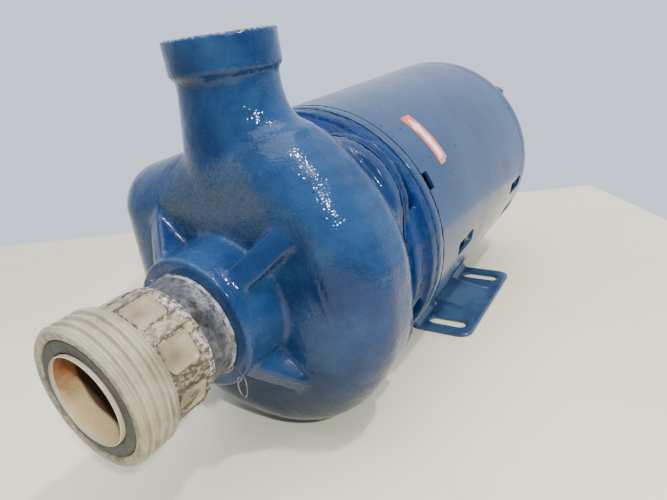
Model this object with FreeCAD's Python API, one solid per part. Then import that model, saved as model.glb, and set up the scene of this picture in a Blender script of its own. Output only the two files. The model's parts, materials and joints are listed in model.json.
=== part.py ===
import FreeCAD, Part
import math
import os

# Close-coupled centrifugal water pump on a foot-mounted electric motor.
# Millimetres. +Z up, +Y from the suction end towards the motor's rear, +X to the right seen from the
# suction end.
# The origin lies on the foot's underside, at the centre of its four slots. Pieces are drawn about the
# shaft axis (local z = 0) and raised by SHAFT_HEIGHT when they are saved.

# --- motor frame: standard NEMA 56 numbers -------------------------------------------------------------
SHAFT_HEIGHT = 88.9
SHELL_R = 82.55
SHELL_WALL = 2.0
SLOT_X = 61.9
SLOT_Y = 38.1
SLOT_HALF_WIDTH = 4.35
SLOT_LENGTH = 28.0
FACE_REGISTER_R = 57.15
SHAFT_R = 7.94

# --- stations along the shaft --------------------------------------------------------------------------
FITTING_FRONT = -271.0
THREAD_END = -254.6
GRIP_FRONT = -251.5
GRIP_REAR = -231.5
TAIL_REAR = -227.0
BOSS_FRONT = -211.1
CASING_FRONT = -184.0
CASING_REAR = -122.0
ADAPTER_FRONT = -121.2
ADAPTER_PLATE_REAR = -113.2
ADAPTER_RING_FRONT = -105.0
MOTOR_FRONT = -94.7
SEAM_FRONT = -87.7
SEAM_REAR = 93.2
MOTOR_REAR = 103.2
SHIELD_BACK = 110.0
COVER_REAR = 121.0
NECK_Y = (CASING_FRONT + CASING_REAR) / 2.0

# --- casing --------------------------------------------------------------------------------------------
CASING_WALL = 7.0
CASING_EDGE_R = 25.0
CAVITY_EDGE_R = 18.0
# corners of the scroll's outline, counter-clockwise from low left: x, height from the shaft, corner radius
SCROLL_CORNERS = (
    (-87.0, -SHAFT_HEIGHT, 83.0), (87.0, -SHAFT_HEIGHT, 84.0), (87.0, 40.0, 90.0),
    (36.0, 91.5, 40.0), (-80.5, 61.5, 27.0),
)
FLANGE_HALF = 74.0
FLANGE_CORNER_R = 39.0
FLANGE_THICK = 8.5
BOLT_GRIP = 7.4
LUG_BOLT_R = 76.5
NECK_X = 2.0
NECK_TOP_R = 24.8
NECK_FOOT_R = 31.5
NECK_FOOT = 60.0
COLLAR_R = 28.1
COLLAR_TOP = 129.2
COLLAR_BASE = 111.5
DISCHARGE_R = 19.4
DISCHARGE_THREAD_R = 20.4
DISCHARGE_THREAD_LENGTH = 20.0
BOSS_R = 35.6
SUCTION_THREAD_R = 23.4
EYE_R = 27.3
BOSS_FOOT_R = 37.5
RIB_WIDTH = 13.0
RIB_REACH = 64.0
RIB_ANGLES = (42.0, 132.5, 222.5, 312.0)
REGISTER_R = 64.0

# --- suction fitting -----------------------------------------------------------------------------------
NIPPLE_R = 27.8
NIPPLE_BORE_R = 20.4
THREAD_CREST_R = 34.1
THREAD_ROOT_R = 32.3
THREAD_COUNT = 4
GRIP_R = 30.4
GRIP_SIDES = 8
TAIL_R = 30.0
GASKET_R = 28.4
GASKET_THICK = 3.0
SLEEVE_R = 21.9
SLEEVE_BORE_R = 20.4
SLEEVE_PROUD = 1.2

# --- rotating parts ------------------------------------------------------------------------------------
IMPELLER_R = 57.0
IMPELLER_EYE_R = 27.0
IMPELLER_FRONT = -171.0
IMPELLER_BACK = -149.0
SHROUD_THICK = 3.0
HUB_R = 15.0
VANE_COUNT = 6
VANE_THICK = 3.2
ROTOR_R = 41.0
STATOR_BORE_R = 41.5
CORE_HALF = 42.0
STATOR_R = SHELL_R - SHELL_WALL
BEARING_BORE_R = 8.5
BEARING_OUTER_R = 20.0
BEARING_WIDTH = 12.0
BALL_R = 3.3
BALL_PITCH_R = 14.25
BALL_COUNT = 8
BALL_GAP = 0.3
FRONT_BEARING = -84.0
REAR_BEARING = 84.0

SEAL_FACE = -131.0
SEAL_GAP = 0.3
SEAL_HEAD_FRONT = -137.3
SEAL_SEAT_THICK = 7.0
SEAL_BORE_R = 17.5

# --- hardware ------------------------------------------------------------------------------------------
BOLT_R = 4.76
BOLT_HEAD_FLATS = 14.3
BOLT_HEAD_THICK = 6.2
THROUGH_BOLT_R = 3.17
THROUGH_BOLT_CIRCLE = 75.0
THROUGH_BOLT_FRONT = -103.5
NUT_FLATS = 11.1
NUT_THICK = 6.0
COVER_R = 50.0
COVER_SCREW_X = 40.0
COVER_SCREW_R = 1.9
WASHER_THICK = 0.8
NOTCH_ANGLE = 26.5
QUARTERS = (42.5, 132.5, 222.5, 312.5)

# --- base ----------------------------------------------------------------------------------------------
SHEET = 3.0
FOOT_HALF_X = 83.0
FOOT_HALF_Y = 52.0
FOOT_CORNER_R = 9.0
SADDLE_HALF_X = 36.0
FOOT_START_X = 45.0

V = FreeCAD.Vector
AXIS = V(0, 1, 0)


def cyl(radius, y0, y1, x=0.0, z=0.0):
    return Part.makeCylinder(radius, y1 - y0, V(x, y0, z), AXIS)


def ring(outer, inner, y0, y1):
    return cyl(outer, y0, y1).cut(cyl(inner, y0 - 1, y1 + 1))


def cone(r0, r1, y0, y1):
    return Part.makeCone(r0, r1, y1 - y0, V(0, y0, 0), AXIS)


def post(radius, z0, z1, x=0.0, y=0.0):
    return Part.makeCylinder(radius, z1 - z0, V(x, y, z0), V(0, 0, 1))


def box(x0, x1, y0, y1, z0, z1):
    return Part.makeBox(x1 - x0, y1 - y0, z1 - z0, V(x0, y0, z0))


def polar(radius, degrees):
    turn = math.radians(degrees)
    return radius * math.cos(turn), radius * math.sin(turn)


def spun(shape, degrees):
    copy = shape.copy()
    copy.rotate(V(0, 0, 0), AXIS, -degrees)
    return copy


def fuse(shapes):
    return shapes[0].multiFuse(shapes[1:]).removeSplitter()


def cut(shape, tools):
    return shape.cut(Part.makeCompound(tools)) if tools else shape


def hexagon(flats, y0, y1, x=0.0, z=0.0):
    corner = flats / math.sqrt(3.0)
    points = []
    for side in range(7):
        dx, dz = polar(corner, 60.0 * side + 30.0)
        points.append(V(x + dx, y0, z + dz))
    return Part.Face(Part.makePolygon(points)).extrude(V(0, y1 - y0, 0))


def arc(start, through, end):
    return Part.Arc(start, through, end).toShape()


def line(start, end):
    return Part.LineSegment(start, end).toShape()


def turned(profile):
    """A solid of revolution about the shaft from (radius, y) points."""
    points = [V(radius, y, 0) for radius, y in profile]
    face = Part.Face(Part.makePolygon(points + points[:1]))
    return face.revolve(V(0, 0, 0), AXIS, 360)


def save(name, shape, lift=SHAFT_HEIGHT):
    solid = shape.copy()
    solid.translate(V(0, 0, lift))
    if solid.ShapeType == "Compound" and len(solid.Solids) == 1:
        solid = solid.Solids[0]
    print(name, solid.isValid(), len(solid.Solids), round(solid.Volume / 1000.0, 2))
    solid.exportStep("parts/" + name + ".step")


# --- casing --------------------------------------------------------------------------------------------
def rounded_outline(corners, y):
    """A closed wire in the plane at y, through (x, z, radius) corners, each rounded by a tangent arc."""
    count = len(corners)
    starts, middles, ends = [], [], []
    for i in range(count):
        here = V(corners[i][0], y, corners[i][1])
        back = V(corners[i - 1][0], y, corners[i - 1][1]).sub(here).normalize()
        ahead = corners[(i + 1) % count]
        onward = V(ahead[0], y, ahead[1]).sub(here).normalize()
        half = back.getAngle(onward) / 2
        radius = corners[i][2]
        reach = radius / math.tan(half)
        inward = back.add(onward).normalize()
        starts.append(here + back * reach)
        ends.append(here + onward * reach)
        middles.append(here + inward * (radius / math.sin(half) - radius))
    edges = []
    for i in range(count):
        edges.append(arc(starts[i], middles[i], ends[i]))
        edges.append(line(ends[i], starts[(i + 1) % count]))
    return Part.Wire(edges)


def scroll(inset, y0, y1, edge_r):
    """The scroll body: an outline that widens towards the discharge, extruded and rounded at both ends."""
    outline = rounded_outline(SCROLL_CORNERS, y0)
    if inset:
        outline = outline.makeOffset2D(-inset)
    body = Part.Face(outline).extrude(V(0, y1 - y0, 0))
    rims = [edge for edge in body.Edges if abs(edge.BoundBox.YLength) < 0.01]
    return body.makeFillet(edge_r, rims)


def suction_ribs():
    """Four gusset ribs from the suction boss out to the casing's front face."""
    profile = [
        V(0, CASING_FRONT + 9, 0), V(0, BOSS_FRONT + 9, 0), V(BOSS_R + 2, BOSS_FRONT + 9, 0),
        V(RIB_REACH, CASING_FRONT + 1, 0), V(RIB_REACH, CASING_FRONT + 9, 0), V(0, CASING_FRONT + 9, 0),
    ]
    rib = Part.Face(Part.makePolygon(profile)).extrude(V(0, 0, RIB_WIDTH))
    rib.translate(V(0, 0, -RIB_WIDTH / 2))
    return [spun(rib, angle) for angle in RIB_ANGLES]


def flange_plate(y0, y1):
    """A square flange with generously rounded corners, a bolt in each."""
    plate = box(-FLANGE_HALF, FLANGE_HALF, y0, y1, -FLANGE_HALF, FLANGE_HALF)
    corners = [edge for edge in plate.Edges if abs(edge.Vertexes[0].Y - edge.Vertexes[-1].Y) > (y1 - y0) / 2]
    return spun(plate.makeFillet(FLANGE_CORNER_R, corners), QUARTERS[0] - 45)


def volute_casing():
    outside = [
        scroll(0.0, CASING_FRONT, CASING_REAR - 1.5, CASING_EDGE_R),
        flange_plate(CASING_REAR - FLANGE_THICK, CASING_REAR),
        Part.makeCone(NECK_FOOT_R, NECK_TOP_R, COLLAR_BASE - NECK_FOOT, V(NECK_X, NECK_Y, NECK_FOOT)),
        post(COLLAR_R, COLLAR_BASE, COLLAR_TOP, NECK_X, NECK_Y),
        cyl(BOSS_R, BOSS_FRONT, CASING_FRONT + 5),
        cone(BOSS_R, BOSS_FOOT_R, BOSS_FRONT + 6, CASING_FRONT + 1),
    ]
    solid = fuse(outside + suction_ribs())
    hollows = [
        scroll(CASING_WALL, CASING_FRONT + CASING_WALL, CASING_REAR - CASING_WALL - 1.5, CAVITY_EDGE_R),
        cyl(REGISTER_R, CASING_REAR - 20, CASING_REAR + 1),
        cyl(EYE_R + 3, CASING_FRONT + 1, CASING_FRONT + 12),
        cyl(NIPPLE_BORE_R + 1, BOSS_FRONT - 1, CASING_FRONT + 10),
        cyl(SUCTION_THREAD_R, BOSS_FRONT - 1, BOSS_FRONT + 18),
        post(DISCHARGE_R, 60.0, COLLAR_TOP + 1, NECK_X, NECK_Y),
        post(DISCHARGE_THREAD_R, COLLAR_TOP - DISCHARGE_THREAD_LENGTH, COLLAR_TOP + 1, NECK_X, NECK_Y),
    ]
    for angle in QUARTERS:
        x, z = polar(LUG_BOLT_R, angle)
        hollows.append(cyl(BOLT_R, CASING_REAR - BOLT_GRIP, CASING_REAR + 1, x, z))
    return cut(solid, hollows)


def wear_ring():
    return ring(EYE_R + 3, EYE_R, CASING_FRONT + 1.5, CASING_FRONT + 12)


def casing_gasket():
    plate = flange_plate(CASING_REAR, ADAPTER_FRONT)
    holes = [cyl(REGISTER_R, CASING_REAR - 1, ADAPTER_FRONT + 1)]
    for angle in QUARTERS:
        x, z = polar(LUG_BOLT_R, angle)
        holes.append(cyl(BOLT_R + 0.3, CASING_REAR - 1, ADAPTER_FRONT + 1, x, z))
    return cut(plate, holes)


def adapter_bracket():
    """Front plate with the seal housing, four webs, and the ring that bolts to the motor's face."""
    shaft_hole_r = 12.0
    window_half_angle = 11.0
    window_centre = 33.0
    wall_r = SHELL_R - 10
    head_room_r = 8.9
    solid = fuse([
        flange_plate(ADAPTER_FRONT, ADAPTER_PLATE_REAR),
        ring(REGISTER_R - 0.1, REGISTER_R - 14, CASING_REAR - 6, ADAPTER_FRONT + 1),
        cyl(24.0, CASING_REAR - 12, MOTOR_FRONT - 2),
        cyl(REGISTER_R - 12, CASING_REAR - 6, ADAPTER_PLATE_REAR),
        ring(SHELL_R - 3.5, wall_r, ADAPTER_FRONT + 2, MOTOR_FRONT),
        ring(SHELL_R - 0.3, FACE_REGISTER_R, ADAPTER_RING_FRONT, MOTOR_FRONT),
    ])
    holes = [
        cyl(shaft_hole_r, CASING_REAR - 20, MOTOR_FRONT),
        cyl(SEAL_BORE_R, SEAL_FACE - 4, SEAL_FACE + SEAL_SEAT_THICK),
    ]
    for angle in QUARTERS:
        x, z = polar(LUG_BOLT_R, angle)
        holes.append(cyl(BOLT_R + 0.3, ADAPTER_FRONT - 1, ADAPTER_PLATE_REAR + 1, x, z))
        holes.append(cyl(head_room_r, ADAPTER_PLATE_REAR, ADAPTER_RING_FRONT, x, z))
        x, z = polar(THROUGH_BOLT_CIRCLE, angle)
        holes.append(cyl(THROUGH_BOLT_R, THROUGH_BOLT_FRONT, MOTOR_FRONT + 1, x, z))
    for side in (window_centre, 180 - window_centre, 180 + window_centre, -window_centre):
        half_height = SHELL_R * math.sin(math.radians(window_half_angle))
        slot = box(wall_r - 12, SHELL_R + 2, ADAPTER_PLATE_REAR, ADAPTER_RING_FRONT,
                   -half_height, half_height)
        holes.append(spun(slot, side))
    return cut(solid, holes)


def bolt(head_flats, head_thick, shank_r, head_y, tip_y, x, z):
    """A hexagon-head bolt whose shank runs from its head at head_y to tip_y, either way along the shaft."""
    way = 1.0 if tip_y > head_y else -1.0
    low, high = sorted((head_y, tip_y))
    head = sorted((head_y - way * head_thick, head_y))
    return fuse([hexagon(head_flats, head[0], head[1], x, z), cyl(shank_r, low, high, x, z)])


def casing_bolts():
    solids = []
    for angle in QUARTERS:
        x, z = polar(LUG_BOLT_R, angle)
        tip = CASING_REAR - BOLT_GRIP
        solids.append(bolt(BOLT_HEAD_FLATS, BOLT_HEAD_THICK, BOLT_R, ADAPTER_PLATE_REAR, tip, x, z))
    return Part.makeCompound(solids)


# --- suction fitting -----------------------------------------------------------------------------------
def suction_nipple():
    return cut(fuse([
        cyl(SUCTION_THREAD_R, BOSS_FRONT, BOSS_FRONT + 16),
        cyl(NIPPLE_R, TAIL_REAR, BOSS_FRONT),
        cyl(NIPPLE_R - 3.5, GRIP_REAR - 6, TAIL_REAR + 1),
    ]), [cyl(NIPPLE_BORE_R, GRIP_REAR - 7, BOSS_FRONT + 17)])


def thread_tape():
    return ring(NIPPLE_R + 0.6, NIPPLE_R, BOSS_FRONT - 3.0, BOSS_FRONT)


def union_body():
    """Plastic threaded half of a pipe union: round coarse threads, an eight-sided grip and a short tail."""
    pitch = (THREAD_END - FITTING_FRONT) / THREAD_COUNT
    flank = 0.8
    groove = 0.6
    profile = [(SLEEVE_R, FITTING_FRONT), (THREAD_CREST_R - flank, FITTING_FRONT)]
    for turn in range(THREAD_COUNT):
        base = FITTING_FRONT + turn * pitch
        profile.append((THREAD_CREST_R, base + flank))
        profile.append((THREAD_CREST_R, base + pitch - 2 * flank - groove))
        profile.append((THREAD_ROOT_R, base + pitch - flank - groove))
        profile.append((THREAD_ROOT_R, base + pitch - flank))
    profile.append((THREAD_CREST_R - flank, THREAD_END))
    profile.append((THREAD_CREST_R - flank, GRIP_FRONT))
    profile.append((SLEEVE_R, GRIP_FRONT))
    threads = turned(profile)
    corners = []
    for side in range(GRIP_SIDES + 1):
        x, z = polar(GRIP_R / math.cos(math.pi / GRIP_SIDES), 360.0 / GRIP_SIDES * side)
        corners.append(V(x, GRIP_FRONT, z))
    grip = Part.Face(Part.makePolygon(corners)).extrude(V(0, GRIP_REAR - GRIP_FRONT, 0))
    solid = fuse([threads, grip, cyl(TAIL_R, GRIP_REAR - 1, TAIL_REAR)])
    return cut(solid, [
        cyl(SLEEVE_R, FITTING_FRONT - 1, GRIP_REAR - 6),
        cyl(NIPPLE_R - 3.5, GRIP_REAR - 6, TAIL_REAR + 1),
        cyl(GASKET_R, FITTING_FRONT - 1, FITTING_FRONT + GASKET_THICK),
    ])


def union_gasket():
    return ring(GASKET_R, SLEEVE_R, FITTING_FRONT + 0.3, FITTING_FRONT + GASKET_THICK)


def union_sleeve():
    return ring(SLEEVE_R, SLEEVE_BORE_R, FITTING_FRONT - SLEEVE_PROUD, GRIP_REAR - 6)


# --- rotating parts ------------------------------------------------------------------------------------
def impeller():
    """Closed impeller: front shroud with the eye, back shroud, hub and backward-curved vanes."""
    back = cyl(IMPELLER_R, IMPELLER_BACK - SHROUD_THICK, IMPELLER_BACK)
    front = ring(IMPELLER_R, IMPELLER_EYE_R - 3, IMPELLER_FRONT, IMPELLER_FRONT + SHROUD_THICK)
    eye = ring(IMPELLER_EYE_R, IMPELLER_EYE_R - 3, CASING_FRONT + 3, IMPELLER_FRONT + SHROUD_THICK)
    hub = cyl(HUB_R, IMPELLER_FRONT - 4, IMPELLER_BACK + 8)
    vane_r = 34.0
    vane = ring(vane_r, vane_r - VANE_THICK, IMPELLER_FRONT + 1, IMPELLER_BACK - 1)
    vane.translate(V(0, 0, vane_r * 0.98))
    reach = ring(IMPELLER_R, IMPELLER_EYE_R - 8, IMPELLER_FRONT, IMPELLER_BACK)
    keep = box(0, IMPELLER_R + 1, IMPELLER_FRONT, IMPELLER_BACK, 0, 2 * vane_r)
    blade = vane.common(reach).common(keep)
    blades = [spun(blade, 360.0 / VANE_COUNT * turn) for turn in range(VANE_COUNT)]
    solid = fuse([back, front, eye, hub] + blades)
    return cut(solid, [cyl(SHAFT_R, IMPELLER_FRONT - 5, IMPELLER_BACK + 9)])


def impeller_washer():
    return ring(12.0, 4.0, IMPELLER_FRONT - 6, IMPELLER_FRONT - 4)


def impeller_screw():
    seat = IMPELLER_FRONT - 6
    return bolt(12.7, 5.5, 4.0, seat, seat + 22, 0, 0)


def motor_shaft():
    """Stepped shaft with a tapped nose for the impeller's locking screw."""
    solid = fuse([
        cyl(SHAFT_R, IMPELLER_FRONT - 4, FRONT_BEARING),
        cyl(BEARING_BORE_R, FRONT_BEARING - BEARING_WIDTH / 2, REAR_BEARING + BEARING_WIDTH / 2),
        cyl(12.0, FRONT_BEARING + BEARING_WIDTH / 2, REAR_BEARING - BEARING_WIDTH / 2),
    ])
    return cut(solid, [cyl(4.0, IMPELLER_FRONT - 5, IMPELLER_FRONT + 16)])


def rotor_core():
    end_ring = 6.0
    solid = [ring(ROTOR_R, 12.0, -CORE_HALF, CORE_HALF)]
    solid.append(ring(ROTOR_R - 3, 24.0, -CORE_HALF - end_ring, -CORE_HALF))
    solid.append(ring(ROTOR_R - 3, 24.0, CORE_HALF, CORE_HALF + end_ring))
    return fuse(solid)


def rotor_fan():
    blades = 9
    hub = ring(20.0, 12.0, CORE_HALF + 8, CORE_HALF + 22)
    disc = ring(34.0, 12.0, CORE_HALF + 8, CORE_HALF + 10)
    blade = box(16, 34, CORE_HALF + 8, CORE_HALF + 22, -1.0, 1.0)
    return fuse([hub, disc] + [spun(blade, 360.0 / blades * turn) for turn in range(blades)])


def water_slinger():
    return ring(19.0, SHAFT_R, MOTOR_FRONT - 1.4, MOTOR_FRONT + 1.6)


def seal_seat():
    return ring(SEAL_BORE_R, SHAFT_R + 1.6, SEAL_FACE, SEAL_FACE + SEAL_SEAT_THICK)


def seal_head():
    return ring(14.0, SHAFT_R, SEAL_HEAD_FRONT, SEAL_FACE - SEAL_GAP)


def seal_spring():
    """Spring between the impeller hub and the seal head: each of its turns is a ring of wire."""
    wire_r = 0.8
    coil_r = 11.0
    turns = 3
    first = IMPELLER_BACK + 8 + wire_r
    last = SEAL_HEAD_FRONT - wire_r
    rings = []
    for turn in range(turns):
        y = first + (last - first) * turn / (turns - 1)
        rings.append(Part.makeTorus(coil_r, wire_r, V(0, y, 0), AXIS))
    return Part.makeCompound(rings)


def bearing_outer_ring(middle):
    half = BEARING_WIDTH / 2
    solid = ring(BEARING_OUTER_R, BALL_PITCH_R + 2.0, middle - half, middle + half)
    return solid.cut(Part.makeTorus(BALL_PITCH_R, BALL_R + BALL_GAP, V(0, middle, 0), AXIS))


def bearing_inner_ring(middle):
    half = BEARING_WIDTH / 2
    solid = ring(BALL_PITCH_R - 2.0, BEARING_BORE_R, middle - half, middle + half)
    return solid.cut(Part.makeTorus(BALL_PITCH_R, BALL_R, V(0, middle, 0), AXIS))


def bearing_balls(middle):
    balls = []
    for turn in range(BALL_COUNT):
        x, z = polar(BALL_PITCH_R, 360.0 / BALL_COUNT * turn)
        balls.append(Part.makeSphere(BALL_R - 0.02, V(x, middle, z)))
    return Part.makeCompound(balls)


# --- motor housing -------------------------------------------------------------------------------------
def vent_slots():
    """Louvre openings low on both sides of the shell."""
    height = 9.5
    slots = []
    for y0, y1 in ((-60.0, -32.0), (62.0, 90.0)):
        for angle in (-12.0, -28.0, 192.0, 208.0):
            opening = box(SHELL_R - 8, SHELL_R + 4, y0, y1, -height / 2, height / 2)
            corners = [edge for edge in opening.Edges if edge.BoundBox.XLength > 10]
            slots.append(spun(opening.makeFillet(2.5, corners), angle))
    return slots


def rim_notch():
    """Assembly notch behind the front seam, in the shell and the shield's spigot."""
    half_width = 5.4
    return box(SHELL_R - 2.6, SHELL_R + 4, SEAM_FRONT, SEAM_FRONT + 6.4, -half_width, half_width)


def motor_shell():
    return cut(ring(SHELL_R, SHELL_R - SHELL_WALL, SEAM_FRONT, SEAM_REAR),
               vent_slots() + [spun(rim_notch(), NOTCH_ANGLE)])


def shield(face_y, rim_y, seam_y, bearing_y, pocket_gap):
    """End shield: a rim flush with the shell, a spigot inside it, an outer wall and a bearing pocket."""
    way = 1.0 if seam_y > rim_y else -1.0
    half = BEARING_WIDTH / 2
    spigot_end = seam_y + way * 6
    pocket_end = bearing_y + way * half
    wall = 5.0
    back_r = SHELL_R - 3.0
    bolt_room = THROUGH_BOLT_CIRCLE - 7
    solid = fuse([
        ring(SHELL_R, bolt_room, *sorted((rim_y, seam_y))),
        ring(SHELL_R - SHELL_WALL, bolt_room, *sorted((rim_y, spigot_end))),
        ring(back_r, bolt_room, *sorted((face_y, seam_y))),
        cyl(back_r, *sorted((face_y, face_y + way * wall))),
        cyl(BEARING_OUTER_R + 5, *sorted((face_y, pocket_end))),
    ])
    holes = [
        cyl(BEARING_OUTER_R, *sorted((bearing_y - way * (half + pocket_gap), pocket_end + way))),
        cyl(10.0, *sorted((face_y - way, pocket_end + way))),
    ]
    for angle in QUARTERS:
        x, z = polar(THROUGH_BOLT_CIRCLE, angle)
        holes.append(cyl(THROUGH_BOLT_R, *sorted((face_y - way, spigot_end + way)), x, z))
    return cut(solid, holes)


def drive_end_shield():
    solid = shield(MOTOR_FRONT, MOTOR_FRONT, SEAM_FRONT, FRONT_BEARING, 0.0)
    solid = fuse([solid, ring(FACE_REGISTER_R, FACE_REGISTER_R - 12, MOTOR_FRONT - 4, MOTOR_FRONT + 1)])
    return cut(solid, [cyl(21.0, MOTOR_FRONT - 1, MOTOR_FRONT + 2.4), spun(rim_notch(), NOTCH_ANGLE)])


def rear_end_shield():
    solid = shield(SHIELD_BACK, MOTOR_REAR, SEAM_REAR, REAR_BEARING, WASHER_THICK)
    holes = []
    for x in (-COVER_SCREW_X, COVER_SCREW_X):
        holes.append(cyl(COVER_SCREW_R, SHIELD_BACK - 4, SHIELD_BACK + 1, x, 0))
    return cut(solid, holes)


def terminal_cover():
    """Shallow round cap over the wiring space at the back of the rear shield."""
    solid = cyl(COVER_R, SHIELD_BACK, COVER_REAR)
    rims = [edge for edge in solid.Edges
            if abs(edge.BoundBox.YMin - COVER_REAR) < 0.01 and len(edge.Vertexes) == 1]
    solid = solid.makeFillet(4.0, rims)
    solid = solid.cut(cyl(COVER_R - 2.5, SHIELD_BACK - 1, COVER_REAR - 2.5))
    holes = []
    for x in (-COVER_SCREW_X, COVER_SCREW_X):
        solid = solid.fuse(cyl(5.0, SHIELD_BACK, COVER_REAR - 1, x, 0))
        holes.append(cyl(COVER_SCREW_R, SHIELD_BACK - 1, COVER_REAR + 1, x, 0))
    return cut(solid.removeSplitter(), holes)


def cover_screws():
    solids = []
    for x in (-COVER_SCREW_X, COVER_SCREW_X):
        solids.append(fuse([cyl(3.6, COVER_REAR, COVER_REAR + 2.4, x, 0),
                            cyl(COVER_SCREW_R, SHIELD_BACK - 4, COVER_REAR + 1, x, 0)]))
    return Part.makeCompound(solids)


def stator_core():
    slots = 24
    solid = ring(STATOR_R, STATOR_BORE_R, -CORE_HALF, CORE_HALF)
    groove = box(STATOR_BORE_R - 4, STATOR_BORE_R + 16, -CORE_HALF - 1, CORE_HALF + 1, -2.2, 2.2)
    notches = [spun(groove, 360.0 / slots * turn) for turn in range(slots)]
    for angle in QUARTERS:
        x, z = polar(THROUGH_BOLT_CIRCLE, angle)
        notches.append(cyl(THROUGH_BOLT_R + 0.4, -CORE_HALF - 1, CORE_HALF + 1, x, z))
    return cut(solid, notches)


def stator_windings():
    """The two end turns of the winding, each a rounded ring against the core's face."""
    ends = []
    for y0, y1 in ((-CORE_HALF - 20, -CORE_HALF), (CORE_HALF, CORE_HALF + 20)):
        end = ring(66.0, 46.0, y0, y1)
        ends.append(end.makeFillet(5.0, [edge for edge in end.Edges if len(edge.Vertexes) == 1]))
    return Part.makeCompound(ends)


def through_bolts():
    """Long bolts that clamp the motor between its rear shield and the adapter's tapped ring."""
    solids = []
    for angle in QUARTERS:
        x, z = polar(THROUGH_BOLT_CIRCLE, angle)
        solids.append(cyl(THROUGH_BOLT_R, THROUGH_BOLT_FRONT, SHIELD_BACK + NUT_THICK + 3, x, z))
    return Part.makeCompound(solids)


def through_bolt_nuts():
    solids = []
    for angle in QUARTERS:
        x, z = polar(THROUGH_BOLT_CIRCLE, angle)
        nut = hexagon(NUT_FLATS, SHIELD_BACK, SHIELD_BACK + NUT_THICK, x, z)
        solids.append(nut.cut(cyl(THROUGH_BOLT_R, SHIELD_BACK - 1, SHIELD_BACK + NUT_THICK + 1, x, z)))
    return Part.makeCompound(solids)


def wave_washer():
    face = REAR_BEARING + BEARING_WIDTH / 2
    return ring(19.5, 16.0, face, face + WASHER_THICK)


def rotation_label():
    thick = 0.25
    strip = ring(SHELL_R + thick, SHELL_R, -61.0, -49.0)
    half = 13.3
    reach = SHELL_R + 10
    points = [V(0, -61, 0)]
    for angle in (-half, half):
        x, z = polar(reach, angle)
        points.append(V(x, -61, z))
    wedge = Part.Face(Part.makePolygon(points + points[:1])).extrude(V(0, 12, 0))
    return strip.common(spun(wedge, 41.5))


# --- base ----------------------------------------------------------------------------------------------
def mirrored(points):
    return [V(-point.x, point.y, point.z) for point in points]


def stiffener(inner_x, outer_x, half_y, top_z, mid_z, low_z, foot_z, side):
    """A wedge that runs from the saddle out along the foot, as a pressed rib or as the hollow under it."""
    bend_x = FOOT_START_X + 1
    outline = [(inner_x, low_z), (inner_x, top_z), (bend_x, mid_z), (outer_x, foot_z), (outer_x, low_z)]
    points = [V(side * x, -half_y, z - SHAFT_HEIGHT) for x, z in outline]
    return Part.Face(Part.makePolygon(points + points[:1])).extrude(V(0, 2 * half_y, 0))


def foot_slot(x, y):
    run = SLOT_LENGTH / 2 - SLOT_HALF_WIDTH
    low, high = -SHAFT_HEIGHT - 1, -SHAFT_HEIGHT + 2 * SHEET
    middle = box(x - run, x + run, y - SLOT_HALF_WIDTH, y + SLOT_HALF_WIDTH, low, high)
    ends = [post(SLOT_HALF_WIDTH, low, high, x - run, y), post(SLOT_HALF_WIDTH, low, high, x + run, y)]
    return fuse([middle] + ends)


def base_cradle():
    """Pressed sheet-steel base: a saddle under the shell that runs out into two slotted feet."""
    outer = SHELL_R + SHEET
    floor = -SHAFT_HEIGHT
    y0 = -FOOT_HALF_Y
    inner_bend = SADDLE_HALF_X - SHEET / 2
    top = [
        V(SADDLE_HALF_X, y0, -math.sqrt(SHELL_R ** 2 - SADDLE_HALF_X ** 2)),
        V(FOOT_START_X, y0, floor + SHEET), V(FOOT_HALF_X, y0, floor + SHEET),
    ]
    low = [
        V(FOOT_HALF_X, y0, floor), V(FOOT_START_X - SHEET / 1.5, y0, floor),
        V(inner_bend, y0, -math.sqrt(outer ** 2 - SADDLE_HALF_X ** 2)),
    ]
    right = top + low
    left = mirrored(right)
    edges = [arc(left[0], V(0, y0, -SHELL_R), right[0]), arc(right[-1], V(0, y0, -outer), left[-1])]
    for points in (right, left):
        edges += [line(start, end) for start, end in zip(points, points[1:])]
    sheet = Part.Face(Part.Wire(Part.__sortEdges__(edges))).extrude(V(0, 2 * FOOT_HALF_Y, 0))
    corners = [edge for edge in sheet.Edges
               if edge.BoundBox.ZLength > 0.9 * SHEET and edge.BoundBox.YLength < 0.01
               and edge.BoundBox.XLength < 0.01 and abs(edge.BoundBox.XMax) > FOOT_HALF_X - 1]
    sheet = sheet.makeFillet(FOOT_CORNER_R, corners)
    ribs, hollows = [], [cyl(SHELL_R, -FOOT_HALF_Y - 1, FOOT_HALF_Y + 1)]
    for side in (-1, 1):
        ribs.append(stiffener(34.0, 76.0, 18.0, 13.5, 9.5, 1.0, SHEET, side))
        hollows.append(stiffener(30.0, 72.0, 15.0, 10.5, 6.5, -1.0, 0.2, side))
        for y in (-SLOT_Y, SLOT_Y):
            hollows.append(foot_slot(side * SLOT_X, y))
    return cut(fuse([sheet] + ribs), hollows)


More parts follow.
